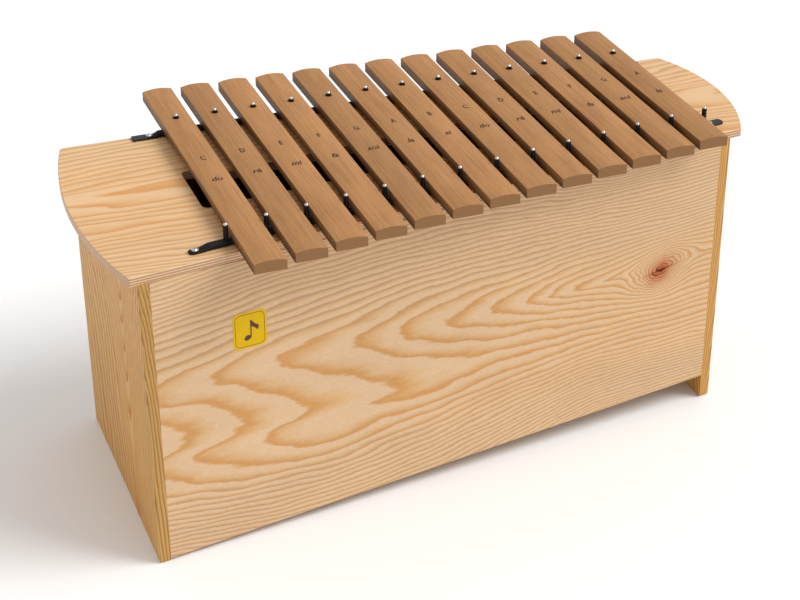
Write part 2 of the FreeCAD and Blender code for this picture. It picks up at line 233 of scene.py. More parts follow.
# How each panel was cut from the tree: rings counted along the grain, less rings counted
# across it, which gives flames where the cut runs along a ring and lines where it crosses
# them. Places are millimetres of the shared frame. "across" holds up to the first place of
# "change" and "across_far" past the second. "sway" is how far the lines wander, "middle" the
# centre of the broad flames and the distances over which they turn into fine lines, and
# "fan" two places between which more rings per millimetre come in on both sides of a crest.
# "knot" is a knot's middle, "shift" moves the noise on so that no two panels are alike, "tone"
# multiplies red, green and blue, and "contrast" is a power that deepens the dark lines. On an
# end panel "face" is the outer face and "edge" the lightness of the bare front edge.
FRONT_FIGURE = {
    "along": [(-445, 0.3), (-300, 2.0), (-110, 4.0), (87, 7.0), (230, 10.0), (300, 10.9), (430, 11.6)],
    "across": [(0, 14.5), (60, 6.3), (90, 3.1), (112, 1.7), (140, 1.0), (158, 0.9), (180, 1.6), (197, 1.5),
               (216, 1.1), (240, 0.5), (265, 0.0), (282, 0.2), (300, 0.9), (330, 2.8), (436, 15.8)],
    "across_far": [(0, 19.0), (90, 8.4), (110, 6.4), (135, 4.3), (160, 3.0), (182, 2.3), (205, 1.7),
                   (240, 0.6), (262, 0.0), (300, 1.2), (330, 3.6), (436, 16.0)],
    "change": (-230, 40),
    "sway": 18.0,
    "middle": (200, 75, 135),
    "fan": (-60, 330, 255, 0.07),
    "knot": (338, 249),
    "shift": 0.0,
    "tone": (0.895, 0.925, 0.98),
}
BACK_FIGURE = dict(
    FRONT_FIGURE,
    along=[(-445, 12.0), (-150, 7.5), (120, 4.0), (430, 0.0)], fan=(-200, -400, 190, 0.03),
    across=[(0, 17.0), (110, 4.0), (170, 0.8), (215, 0.0), (260, 0.9), (320, 4.0), (436, 19.0)],
    across_far=[(0, 15.0), (90, 4.5), (150, 1.2), (190, 0.0), (250, 1.3), (310, 5.0), (436, 20.0)],
    change=(-150, 150), middle=(200, 60, 130), knot=None, shift=17.0,
)
LEFT_FIGURE = {
    "along": [(0, 0.0), (160, 1.2), (300, 3.6), (436, 7.5)],
    "across": [(-260, 14.5), (-180, 6.2), (-152, 2.6), (-133, 0.8), (-110, 1.8), (-60, 5.0),
               (60, 10.6), (120, 13.4), (190, 19.0)],
    "across_far": [(-260, 16.0), (-180, 7.0), (-152, 2.6), (-133, 0.6), (-110, 2.2), (-60, 6.0),
                   (60, 11.4), (120, 14.0), (190, 20.0)],
    "change": (100, 300),
    "sway": 18.0,
    "middle": (20, 160, 260),
    "shift": 31.0,
    "contrast": 1.7,
    "tone": (1.13, 1.36, 1.25),
    "face": -440.0,
    "edge": 0.73,
}
RIGHT_FIGURE = dict(
    LEFT_FIGURE, along=[(0, 6.0), (150, 3.0), (300, 1.0), (436, 0.0)], face=456.0, edge=0.85, shift=43.0)
BOARD_FIGURE = {
    "along": [(-500, 0.0), (-200, 1.0), (200, 1.6), (500, 3.2)],
    "across": [(-225, 16.5), (-160, 10.5), (-120, 7.5), (-95, 5.4), (-70, 4.3), (-40, 2.2), (-10, 0.8),
               (20, 0.0), (50, 1.8), (90, 4.5), (185, 11.5)],
    "across_far": [(-225, 16.0), (-160, 10.0), (-120, 7.2), (-70, 4.4), (-40, 2.0), (-10, 0.5), (25, 0.0),
                   (60, 2.4), (90, 4.6), (185, 11.0)],
    "change": (-250, 250),
    "sway": 28.0,
    "middle": (-20, 90, 150),
    "shift": 59.0,
    "tone": (1.0, 0.97, 0.9),
}
END_GRAIN_TURN = 1.8       # rings cross an end panel's thickness this much faster than its face
SWAY_PATCH = (150.0, 46.0)     # length and width of the patches in which lines wander together
DRIFT_PATCH = (210.0, 60.0)    # and of those in which rings stand closer or wider
DRIFT_RINGS = 1.6
FRINGE = 24.0              # how far a flame's ragged tips reach, and what centres them
FRINGE_MIDDLE = -16.1
FRAY = 0.34                # share of the finest fibres in the fringe
KNOT_TILT = math.radians(22)        # the knot's long way rises to the right
KNOT_REACH = (40.0, 27.2)           # how far its rings spread, along and across the tilt
KNOT_RINGS = 7.0                    # rings that it adds at its heart
KNOT_WOBBLE = 0.55         # how far the noise pushes its rings in and out, and what centres it
KNOT_WOBBLE_MIDDLE = 0.27
BARE_EDGE = (-0.9, -0.5)   # a face is a bare front edge where it looks this much to the front
CRACK_TILT = math.radians(9)
CRACK_SIZE = (25.0, 1.2)            # half length and half thickness of the crack


def near_point(add, place, knot, tilt, half_sizes):
    """Distance from a point on the front panel in a tilted, stretched measure: 1 at the half sizes."""
    offset = add("VectorMath:SUBTRACT", place, (knot[0], 0.0, knot[1]))
    turned = add("VectorRotate", Vector=offset, Angle=tilt, rotation_type="Y_AXIS")
    stretched = add("VectorMath:MULTIPLY", turned, (1 / half_sizes[0], 0.0, 1 / half_sizes[1]))
    return add("VectorMath:LENGTH", stretched, out="Value")


def bell(add, distance, reach):
    """One at a distance of nothing, falling smoothly to none past the reach."""
    share = add("Math:DIVIDE", distance, reach)
    square = add("Math:MULTIPLY", share, share)
    return add("Math:EXPONENT", add("Math:MULTIPLY", square, -1.0))


def pine_rings(add, place, along, across, figure, calm):
    """Growth-ring count at a point, and how far it lies outside the flamed middle (0 to 1)."""
    axes = add("SeparateXYZ", place).node.outputs
    shift = figure["shift"]
    noise = partial(fibre_noise, add, place, along)
    smooth_range = partial(add, "MapRange", interpolation_type="SMOOTHSTEP")
    across_axis = axes[across]
    if "face" in figure:
        depth = add("Math:SUBTRACT", axes["X"], figure["face"])
        across_axis = add("Math:MULTIPLY_ADD", depth, END_GRAIN_TURN, across_axis)
    sway = add("Math:MULTIPLY_ADD", noise(*SWAY_PATCH, shift), figure["sway"], -figure["sway"] / 2)
    across_place = add("Math:ADD", across_axis, sway)
    ragged = add("Math:MULTIPLY_ADD", noise(20.0, 1.8, shift + 8), FRAY, noise(32.0, 7.0, shift + 5))
    feather = add("Math:MULTIPLY", add("Math:MULTIPLY_ADD", ragged, FRINGE, FRINGE_MIDDLE), calm)
    along_rings = ring_profile(add, add("Math:ADD", axes[along], feather), figure["along"])
    change = smooth_range(axes[along], From_Min=figure["change"][0], From_Max=figure["change"][1])
    across_rings = add("Mix", change, A=ring_profile(add, across_place, figure["across"]),
                       B=ring_profile(add, across_place, figure["across_far"]))
    rings = add("Math:SUBTRACT", along_rings, across_rings)
    if "fan" in figure:
        start, end, crest, rate = figure["fan"]
        grown = smooth_range(axes[along], From_Min=start, From_Max=end, To_Max=-rate)
        away = add("Math:ABSOLUTE", add("Math:SUBTRACT", across_place, crest))
        rings = add("Math:MULTIPLY_ADD", away, grown, rings)
    drifted = add("Math:MULTIPLY_ADD", noise(*DRIFT_PATCH, shift + 9), DRIFT_RINGS, rings)
    middle, inner, outer = figure["middle"]
    distance = add("Math:ABSOLUTE", add("Math:SUBTRACT", axes[across], middle))
    return drifted, smooth_range(distance, From_Min=inner, From_Max=outer)


def knot_distance(add, place, along, knot):
    """Wavering distance from a knot, about 1 where its rings end."""
    apart = near_point(add, place, knot, KNOT_TILT, KNOT_REACH)
    wobble = fibre_noise(add, place, along, 30.0, 22.0, 3.0)
    return add("Math:SUBTRACT", add("Math:MULTIPLY_ADD", wobble, KNOT_WOBBLE, apart), KNOT_WOBBLE_MIDDLE)


def paint_knot(add, place, knot, apart, within, colour, colours):
    """Colour of pine with the brown of a knot, its ring lines and the crack through it."""
    crack = near_point(add, place, knot, CRACK_TILT, CRACK_SIZE)
    black, white = (0, 0, 0), (1, 1, 1)
    line = add("ValToRGB", within, stops=[
        (0.0, black), (1.0, black), (0.1, white), (0.24, white), (0.45, black)])
    for distance, reach, share, paint in (
            (apart, 0.62, 0.9, colours.knot), (apart, 0.2, 0.7, colours.heart),
            (apart, 0.5, line, colours.heart), (crack, 1.0, 0.85, colours.crack)):
        strength = add("Math:MULTIPLY", bell(add, distance, reach), share)
        colour = add("Mix", strength, A_Color=colour, B_Color=(*paint, 1), out="Result_Color",
                     data_type="RGBA", blend_type="MULTIPLY")
    return colour


def pine_colour(add, place, along, across, figure, colours):
    """Colour of pine at a point and the height of its grain."""
    knot = figure.get("knot")
    calm = 1.0
    if knot:
        apart = knot_distance(add, place, along, knot)
        calm = add("Math:SUBTRACT", 1.0, bell(add, apart, 1.5))
    rings, outside = pine_rings(add, place, along, across, figure, calm)
    if knot:
        rings = add("Math:MULTIPLY_ADD", bell(add, apart, 1.0), KNOT_RINGS, rings)
    within = add("Math:FRACT", rings)
    early, middle, late, line = colours.early, colours.middle, colours.late, colours.line
    broad = add("ValToRGB", within, stops=[
        (0.0, early), (1.0, early), (0.09, late), (0.17, late), (0.4, middle), (0.68, early)])
    fine = add("ValToRGB", within, stops=[
        (0.0, early), (1.0, early), (0.05, line), (0.2, line), (0.42, middle), (0.66, early)])
    ringed = add("Mix", outside, A_Color=broad, B_Color=fine, out="Result_Color", data_type="RGBA")
    if "contrast" in figure:
        ringed = add("Gamma", ringed, figure["contrast"])
    toned = add("VectorMath:MULTIPLY", ringed, figure["tone"])
    if "edge" in figure:
        facing = add("SeparateXYZ", add("NewGeometry", out="Normal"), out="Y")
        bare = add("MapRange", facing, From_Min=BARE_EDGE[0], From_Max=BARE_EDGE[1], To_Min=figure["edge"])
        toned = add("VectorMath:SCALE", toned, Scale=bare)
    noise = partial(fibre_noise, add, place, along)
    fibres = noise(45.0, 0.8, figure["shift"] + 2, detail=5.0)
    streaked = mottled(add, toned, fibres, 0.4, 0.8)
    colour = mottled(add, streaked, noise(190.0, 70.0, figure["shift"] + 6), 0.2, 0.9)
    if knot:
        colour = paint_knot(add, place, knot, apart, within, colour, colours)
    return colour, fibres


def pine_material(name, along, across, figure, colours):
    """Rotary-cut pine veneer, sanded and satin lacquered: a soft gloss over grain just felt."""
    material, add = new_material(name, Roughness=0.5, Specular_IOR_Level=0.15)
    colour, fibres = pine_colour(add, millimetres(add), along, across, figure, colours)
    return coat(material, {"Base Color": colour}, fibres, depth=0.06, strength=0.35)


GLUE_OFFSET = 0.25     # millimetres that the wavy plies are moved up, to centre them


def board_material(name, figure, colours, plies):
    """Seven-ply pine plywood: veneer on the faces, long plies and dark cross plies on the bare edge."""
    material, add = new_material(name, Roughness=0.42, Specular_IOR_Level=0.35)
    place = millimetres(add)
    face, fibres = pine_colour(add, place, "X", "Y", figure, colours)
    height = add("SeparateXYZ", place, out="Z")
    waved = add("Math:MULTIPLY_ADD", fibre_noise(add, place, "X", 60.0, 30.0, 8.0), 0.5, height)
    layer = add("MapRange", waved, From_Min=BOARD_LOW.z / MM + GLUE_OFFSET,
                From_Max=BOARD_HIGH.z / MM + GLUE_OFFSET, To_Max=plies.count / 2)
    edge = add("ValToRGB", add("Math:FRACT", layer), stops=[
        (0.0, plies.glue), (1.0, plies.glue), (0.06, plies.long), (0.46, plies.long),
        (0.52, plies.glue), (0.58, plies.cross), (0.94, plies.cross)])
    rough_edge = mottled(add, edge, fibre_noise(add, place, "X", 2.5, 0.5, 12.0, detail=3.0), 0.5, 0.75)
    upright = add("Math:ABSOLUTE", add("SeparateXYZ", add("NewGeometry", out="Normal"), out="Z"))
    is_face = add("MapRange", upright, From_Min=0.55, From_Max=0.8)
    colour = add("Mix", is_face, A_Color=rough_edge, B_Color=face, out="Result_Color", data_type="RGBA")
    return coat(material, {"Base Color": colour}, fibres, depth=0.05, strength=0.3)


# --- settings ---

def tint(name, description, hex_colour):
    """Property that holds a colour."""
    return FloatVectorProperty(name=name, description=description, subtype="COLOR",
                               default=linear(hex_colour))


def measure(name, description, metres):
    """Property that holds a length."""
    return FloatProperty(name=name, description=description, unit="LENGTH", default=metres)


class PineSettings(bpy.types.PropertyGroup):
    """Colours of a pine panel."""

    early: tint("Earlywood", "Pale wood of spring growth", "#E2BC92")
    middle: tint("Middle wood", "Where a ring turns from pale to dark", "#DDB07C")
    late: tint("Latewood", "Orange wood in the broad flames", "#D49A5C")
    line: tint("Ring line", "Latewood where the rings stand close", "#C79E74")
    knot: tint("Knot", "Tint of the wood of a knot", "#D87A22")
    heart: tint("Knot heart", "Tint of the heart of a knot", "#985218")
    crack: tint("Crack", "Tint of a dry crack through a knot", "#6E4426")


class PlySettings(bpy.types.PropertyGroup):
    """Colours of the board's bare edge."""

    count: IntProperty(name="Plies", description="Layers in the board", default=7, min=3)
    long: tint("Long ply", "Ply whose grain runs along the edge", "#DDBB94")
    cross: tint("Cross ply", "Ply that shows its end grain", "#B88A68")
    glue: tint("Glue line", "Dark line between two plies", "#865E48")


class BarSettings(bpy.types.PropertyGroup):
    """Colours of the sound bars."""

    pale: tint("Pale streak", "Lighter fibres of the bars", "#BC8855")
    dark: tint("Dark streak", "Darker fibres of the bars", "#A27347")
    pore: tint("Pores", "Short dark pores along the grain", "#8A5A38")
    end: tint("End grain", "Sawn and sanded ends of the bars", "#8C6642")
    # Painted shade on the bars' sides: their lightness at the foot and at the top.
    side: FloatVectorProperty(name="Side shade", size=2, default=(0.14, 0.78), min=0.0, max=1.0,
                              description="Lightness of the oiled sides at the foot and at the top")


class NoteSettings(bpy.types.PropertyGroup):
    """Burned note names."""

    letter_size: measure("Letter size", "Type size of the note letters", 0.0125)
    letter_stretch: FloatVectorProperty(name="Letter stretch", size=2, default=(0.88, 1.36),
                                        description="Width and height of the letters' type")
    syllable_size: measure("Syllable size", "Type size of the syllables", 0.0146)
    syllable_stretch: FloatVectorProperty(name="Syllable stretch", size=2, default=(1.0, 1.15),
                                          description="Width and height of the syllables' type")
    slant: FloatProperty(name="Slant", description="Lean of the syllables", default=0.22)
    weight: measure("Weight", "How far a stroke's edge is moved out", 0.00045)
    depth: measure("Depth", "Thickness of a burned mark", 0.0001)
    burn: tint("Burned wood", "Colour of the branded marks", "#4A2A18")


class RailSettings(bpy.types.PropertyGroup):
    """Braided rails that the bars rest on."""

    width: measure("Width", "Width of the padded run", 0.0142)
    tail_width: measure("Tail width", "Width of the pressed ends", 0.015)
    tail_height: measure("Tail height", "Thickness of the pressed ends", 0.0032)
    strands: IntProperty(name="Strands", description="Strands running each way round the braid",
                         default=12, min=4)
    turn: measure("Turn", "Length in which a strand goes once round", 0.034)
    strand_width: measure("Strand width", "Width of one strand", 0.0021)
    strand_height: measure("Strand height", "Thickness of one strand", 0.0004)
    thread: tint("Thread", "Colour of the braid", "#08080A")
    sealed: tint("Sealed end", "Colour of the pressed ends", "#1C1D21")


class PinSettings(bpy.types.PropertyGroup):
    """Pins, their sleeves and the screws."""

    sleeve_radius: measure("Sleeve radius", "Outer radius of a sleeve", 0.0035)
    bore_radius: measure("Bore radius", "Inner radius of a sleeve", 0.0015)
    lip: measure("Lip", "Rounding of a sleeve's ends", 0.0006)
    rubber: tint("Rubber", "Colour of the sleeves", "#09090A")
    nickel: tint("Nickel", "Colour of pins, screws and washers", "#D9D6D0")


class LabelSettings(bpy.types.PropertyGroup):
    """Plain printed label."""

    film: tint("Film", "Colour of the label", "#DCB100")
    ink: tint("Ink", "Colour of the print", "#54261A")
    line: measure("Border line", "Width of the printed border", 0.0007)


class StageSettings(bpy.types.PropertyGroup):
    """Camera, light and floor."""

    lens: FloatProperty(name="Lens", description="Focal length in millimetres", default=87.376)
    eye: FloatVectorProperty(name="Eye", description="Place of the camera", unit="LENGTH",
                             default=(-0.89129, -2.30946, 1.63895))
    yaw: FloatProperty(name="Yaw", description="Turn to the right of straight ahead",
                       unit="ROTATION", default=0.35934)
    pitch: FloatProperty(name="Pitch", description="Tilt down from level", unit="ROTATION", default=0.52607)
    roll: FloatProperty(name="Roll", description="Lean of the camera", unit="ROTATION", default=-0.00538)
    sky: FloatVectorProperty(name="Sky", size=2, default=(0.56, 0.78),
                             description="Strength of the even light from the left and from the right")
    key: FloatProperty(name="Key", description="Strength of the main light", default=2.0)
    key_from: FloatVectorProperty(name="Key from", description="Where the main light comes from",
                                  subtype="DIRECTION", default=(1.0, -0.45, 1.1))
    key_size: FloatProperty(name="Key size", description="Angle over which the main light spreads",
                            unit="ROTATION", default=math.radians(34))
    floor: tint("Floor", "Colour of the floor", "#FCFCFC")


# --- box ---

class XYLOPHONE_OT_veneer_panels(bpy.types.Operator):
    """Veneer the four outer panels of the box"""

    bl_idname = "xylophone.veneer_panels"
    bl_label = "Veneer panels"

    def execute(self, context):
        colours = context.scene.xylophone_pine
        cuts = {
            "front_panel": ("X", "Z", FRONT_FIGURE),
            "back_panel": ("X", "Z", BACK_FIGURE),
            "left_end_panel": ("Z", "Y", LEFT_FIGURE),
            "right_end_panel": ("Z", "Y", RIGHT_FIGURE),
        }
        for node, cut in cuts.items():
            finish_node(node, pine_material("lacquered_pine_" + node, *cut, colours))
        return {"FINISHED"}


class XYLOPHONE_OT_face_board(bpy.types.Operator):
    """Give the top board its veneer and its ply edges"""

    bl_idname = "xylophone.face_board"
    bl_label = "Face the top board"

    def execute(self, context):
        scene = context.scene
        material = board_material("lacquered_pine_plywood", BOARD_FIGURE, scene.xylophone_pine,
                                  scene.xylophone_plies)
        finish_node("top_board", material)
        return {"FINISHED"}


def plain_wood(name, base, along):
    """Sawn wood that was never lacquered: dry, matt, with short dull fibres."""
    material, add = new_material(name, Roughness=0.72)
    fibres = fibre_noise(add, millimetres(add), along, 40.0, 1.4, 4.0, detail=4.0)
    colour = mottled(add, linear(base), fibres, 0.6, 0.7)
    return coat(material, {"Base Color": colour}, fibres, depth=0.15, strength=0.5)


class XYLOPHONE_OT_finish_inside(bpy.types.Operator):
    """Give the pieces inside the box their bare wood"""

    bl_idname = "xylophone.finish_inside"
    bl_label = "Finish the inside"

    def execute(self, context):
        for material, nodes in (
                (plain_wood("sawn_pine_batten", "#C9A377", "X"), ["front_cleat", "back_cleat"]),
                (plain_wood("unlacquered_plywood", "#B8946A", "Z"), ["bottom_panel", *PARTITION_NODES]),
                (plain_wood("turned_beech", "#C79A6B", "X"), ["panel_dowels"])):
            for node in nodes:
                finish_node(node, material)
        return {"FINISHED"}


# --- bars ---

PLANK_STEP = 731.0     # millimetres of plank between one bar's wood and the next bar's


def bar_number(add, x):
    """Whole number that is the same all over one bar: 0 on the lowest."""
    first = sum(corner.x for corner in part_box(BAR_NODES[0])) / 2 / MM
    last = sum(corner.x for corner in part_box(BAR_NODES[-1])) / 2 / MM
    half_pitch = (last - first) / (len(BAR_NODES) - 1) / 2
    return add("Math:FLOOR", add("MapRange", x, From_Min=first - half_pitch, From_Max=last + half_pitch,
                                 To_Max=len(BAR_NODES)))


def bar_material(colours):
    """Fine-grained hardwood, planed and waxed: close streaks, short pores, a low sheen, and
    ends that took up more wax and are darker. The sides carry painted shade, darker towards the foot.
    Each bar was sawn from another part of the plank."""
    material, add = new_material("waxed_hardwood_bar", Roughness=0.5, Specular_IOR_Level=0.16)
    place = millimetres(add)
    axes = add("SeparateXYZ", place).node.outputs
    number = bar_number(add, axes["X"])
    plank = add("CombineXYZ", Y=add("Math:MULTIPLY", number, PLANK_STEP))
    noise = partial(fibre_noise, add, add("VectorMath:ADD", place, plank), "Y")
    streaks = noise(120.0, 2.2, 1.0, detail=5.0)
    mixed = add("Math:MULTIPLY_ADD", noise(90.0, 22.0, 2.0), 0.45, streaks)
    colour = add("Mix", add("MapRange", mixed, From_Min=0.52, From_Max=0.92), A_Color=(*colours.dark, 1),
                 B_Color=(*colours.pale, 1), out="Result_Color", data_type="RGBA")
    pores = add("MapRange", noise(5.0, 0.45, 3.0, detail=1.0), From_Min=0.58, From_Max=0.7, To_Max=0.55)
    colour = add("Mix", pores, A_Color=colour, B_Color=(*colours.pore, 1), out="Result_Color",
                 data_type="RGBA")
    colour = mottled(add, colour, add("TexWhiteNoise", W=number, noise_dimensions="1D"), 0.16, 0.92)
    ends = mottled(add, colours.end, noise(3.0, 0.8, 7.0, detail=3.0), 0.5, 0.75)
    facing = add("VectorMath:ABSOLUTE", add("NewGeometry", out="Normal"))
    ways = add("SeparateXYZ", facing).node.outputs
    low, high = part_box(BAR_NODES[0])
    # Painted shade: each bar's sides grow darker towards the foot, standing in for the shade between bars.
    painted_shade_by_height = add("MapRange", axes["Z"], From_Min=low.z / MM, From_Max=(high.z - CROWN) / MM,
                 To_Min=colours.side[0], To_Max=colours.side[1])
    shaded = add("MapRange", ways["X"], From_Min=0.6, From_Max=0.95, To_Min=1.0, To_Max=painted_shade_by_height)
    is_end = add("MapRange", ways["Y"], From_Min=0.5, From_Max=0.8)
    colour = add("Mix", is_end, A_Color=add("VectorMath:SCALE", colour, Scale=shaded), B_Color=ends,
                 out="Result_Color", data_type="RGBA")
    return coat(material, {"Base Color": colour}, streaks, depth=0.08, strength=0.4)


class XYLOPHONE_OT_wax_bars(bpy.types.Operator):
    """Give the thirteen bars their waxed wood"""

    bl_idname = "xylophone.wax_bars"
    bl_label = "Wax the bars"

    def execute(self, context):
        material = bar_material(context.scene.xylophone_bars)
        for node in BAR_NODES:
            finish_node(node, material)
        return {"FINISHED"}


LETTER_LINE = (0.0285, 0.0725)     # place of the first and last letter from front to back
SYLLABLE_LINE = (-0.0395, 0.0035)  # and of the first and last syllable
MARK_LIFT = 0.00004                # a mark's outer face stands this far proud


def text_mesh(text, size, stretch, slant, line, share, settings):
    """Solid lettering lying flat, centred at a share of the way along its line."""
    curve = bpy.data.curves.new(text, "FONT")
    curve.body = text
    curve.size = size
    curve.shear = slant
    curve.extrude = settings.depth / 2
    curve.offset = settings.weight
    curve.align_x = "CENTER"
    curve.align_y = "CENTER"
    curve.resolution_u = 3
    mesh = plain_mesh(bpy.data.objects.new(text, curve))
    place = Vector((0.0, line[0] + share * (line[1] - line[0]), 0.0))
    mesh.transform(Matrix.Translation(place) @ Matrix.Diagonal((*stretch, 1.0, 1.0)))
    return mesh


def note_mesh(name, low, high, share, note, settings):
    """Letter and syllable of one bar, bent over its crown."""
    shape = bmesh.new()
    for part in (
            text_mesh(note.upper(), settings.letter_size, settings.letter_stretch, 0.0,
                      LETTER_LINE, share, settings),
            text_mesh(SYLLABLES[note], settings.syllable_size, settings.syllable_stretch, settings.slant,
                      SYLLABLE_LINE, share, settings)):
        shape.from_mesh(part)
        bpy.data.meshes.remove(part)
    bmesh.ops.remove_doubles(shape, verts=shape.verts, dist=1e-6)
    bmesh.ops.recalc_face_normals(shape, faces=shape.faces)
    centre_x = (low.x + high.x) / 2
    half_width = (high.x - low.x) / 2
    top = high.z + MARK_LIFT - settings.depth / 2
    radius = (half_width ** 2 + CROWN ** 2) / (2 * CROWN)
    for vertex in shape.verts:
        fall = radius - math.sqrt(radius ** 2 - vertex.co.x ** 2)
        vertex.co = Vector((centre_x + vertex.co.x, vertex.co.y, top + vertex.co.z - fall))
    return filled_mesh(name, shape)


def filled_mesh(name, shape):
    """Mesh of a finished shape."""
    mesh = bpy.data.meshes.new(name)
    shape.to_mesh(mesh)
    shape.free()
    return mesh


class XYLOPHONE_OT_burn_note_names(bpy.types.Operator):
    """Burn the note letters and syllables into the bars"""

    bl_idname = "xylophone.burn_note_names"
    bl_label = "Burn note names"

    def execute(self, context):
        settings = context.scene.xylophone_notes
        # Wood charred by a hot stamp: matt and dark brown, mottled along the grain.
        material, add = new_material("burned_wood_mark", Roughness=0.8)
        char = fibre_noise(add, millimetres(add), "Y", 2.0, 0.6, 5.0, detail=3.0)
        coat(material, {"Base Color": mottled(add, settings.burn, char, 0.9, 0.5)})
        for index, node in enumerate(BAR_NODES):
            name = "note_name" + node[3:]
            mesh = note_mesh(name, *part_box(node), index / (len(BAR_NODES) - 1), node[-1], settings)
            mesh.materials.append(material)
            add_piece(name, mesh, "sound_" + node)
        return {"FINISHED"}


# --- rails, pins and screws ---

def braid_material(settings):
    """Polyester thread, black: a dry weave with a faint sheen on its high threads."""
    material, add = new_material("black_woven_braid", Roughness=0.6, Specular_IOR_Level=0.3)
    threads = even_noise(add, 1 / 2.2, detail=3.0)
    return coat(material, {"Base Color": mottled(add, settings.thread, threads, 1.4, 0.4)}, threads,
                depth=0.2, strength=0.6)


def sealed_material(settings):
    """Braid end pressed flat and sealed by heat: dark grey, smoother than the weave."""
    material, add = new_material("heat_sealed_braid", Roughness=0.42, Specular_IOR_Level=0.4)
    ripples = even_noise(add, 1 / 0.9, detail=3.0)
    return coat(material, {"Base Color": mottled(add, settings.sealed, ripples, 0.8, 0.6)}, ripples,
                depth=0.15, strength=0.4)


RAIL_INPUTS = {
    "Float": ("Length", "Start", "End", "Width", "Height", "Tail Width", "Tail Height",
              "Near Flat", "Near Ramp", "Near Corner", "Far Flat", "Far Ramp", "Far Corner",
              "Turn", "Strand Width", "Strand Height"),
    "Int": ("Samples", "Strands"),
}
RUN_SQUARENESS = 0.62     # how boxy the padded section is: 1 is an ellipse, less is squarer
TAIL_SQUARENESS = 0.36
SKIN_STRANDS = 2.5        # the core lies this many strand thicknesses under the rail's surface
BRAID_END = (0.002, 0.003)     # the skin ends from this far outside the braid's cut to this far inside
THINNEST = 0.0004         # half width that is left at a tip


def rail_surface(add, sizes, station, angle, lift):
    """Point on the padded rail at a station along it and an angle round it, lifted off it."""
    def rise(low, high):
        return add("MapRange", station, From_Min=low, From_Max=high, interpolation_type="SMOOTHSTEP")

    near_end = add("Math:ADD", sizes["Near Flat"], sizes["Near Ramp"])
    far_flat = add("Math:SUBTRACT", sizes["Length"], sizes["Far Flat"])
    far_end = add("Math:SUBTRACT", far_flat, sizes["Far Ramp"])
    full = add("Math:MULTIPLY", rise(sizes["Near Flat"], near_end), rise(far_flat, far_end))
    width = add("Mix", full, A=sizes["Tail Width"], B=sizes["Width"])
    height = add("Mix", full, A=sizes["Tail Height"], B=sizes["Height"])
    power = add("Mix", full, A=TAIL_SQUARENESS, B=RUN_SQUARENESS)
    outside, inside = BRAID_END
    start, end = sizes["Start"], sizes["End"]
    covered = add("Math:MULTIPLY",
                  rise(add("Math:SUBTRACT", start, outside), add("Math:ADD", start, inside)),
                  rise(add("Math:ADD", end, outside), add("Math:SUBTRACT", end, inside)))
    skin = add("Math:MULTIPLY", add("Math:MULTIPLY", sizes["Strand Height"], SKIN_STRANDS), covered)
    half_width = add("Math:SUBTRACT", add("Math:MULTIPLY", width, 0.5), skin)
    from_far_tip = add("Math:SUBTRACT", sizes["Length"], station)
    for reach, corner in ((station, sizes["Near Corner"]), (from_far_tip, sizes["Far Corner"])):
        share = add("Math:MAXIMUM", add("Math:MINIMUM", add("Math:DIVIDE", reach, corner), 1.0), 0.0)
        gap = add("Math:SUBTRACT", 1.0, share)
        bow = add("Math:SQRT", add("Math:SUBTRACT", 1.0, add("Math:MULTIPLY", gap, gap)))
        loss = add("Math:MULTIPLY", corner, add("Math:SUBTRACT", 1.0, bow))
        half_width = add("Math:SUBTRACT", half_width, loss)
    half_width = add("Math:MAXIMUM", half_width, THINNEST)
    half_height = add("Math:SUBTRACT", add("Math:MULTIPLY", height, 0.5), skin)
    sides = []
    for wave, half in (("COSINE", half_width), ("SINE", half_height)):
        raw = add("Math:" + wave, angle)
        boxy = add("Math:POWER", add("Math:ABSOLUTE", raw), power)
        signed = add("Math:MULTIPLY", boxy, add("Math:SIGN", raw))
        sides.append(add("Math:MULTIPLY_ADD", signed, half, add("Math:MULTIPLY", raw, lift)))
    return add("CombineXYZ", station, sides[0], add("Math:MULTIPLY_ADD", height, 0.5, sides[1]))


CORE_RINGS = 320      # rings of points along the core, and points in a ring
CORE_POINTS = 32
CROWDING = 0.9        # how much closer the rings stand at the ends: 0 is even, 1 the most


def rail_core_tree(material):
    """Padded core of a rail: a tube with closed ends, shaped to the rail's surface."""
    tree, add, sizes = new_geometry_tree("padded_rail_core", **RAIL_INPUTS)
    along = add("CurvePrimitiveLine", End=add("CombineXYZ", X=sizes["Length"]))
    tube = add("CurveToMesh", Curve=add("ResampleCurve", Curve=along, Count=CORE_RINGS), Fill_Caps=True,
               Profile_Curve=add("CurvePrimitiveCircle", Resolution=CORE_POINTS, Radius=MM))
    axes = add("SeparateXYZ", add("InputPosition")).node.outputs
    angle = add("Math:ARCTAN2", axes["Z"], axes["Y"])
    share = add("Math:DIVIDE", axes["X"], sizes["Length"])
    wave = add("Math:SINE", add("Math:MULTIPLY", share, math.tau))
    crowded = add("Math:MULTIPLY_ADD", wave, -CROWDING / math.tau, share)
    surface = rail_surface(add, sizes, add("Math:MULTIPLY", crowded, sizes["Length"]), angle, 0.0)
    shaped = add("SetPosition", Geometry=tube, Position=surface)
    end_geometry_tree(add, add("SetShadeSmooth", Geometry=shaped), material)
    return tree


STRAND_KEEL = 0.0001      # depth of a strand's section below its widest line
STRAND_REST = 1.1         # middle height of a strand over the core, in strand thicknesses


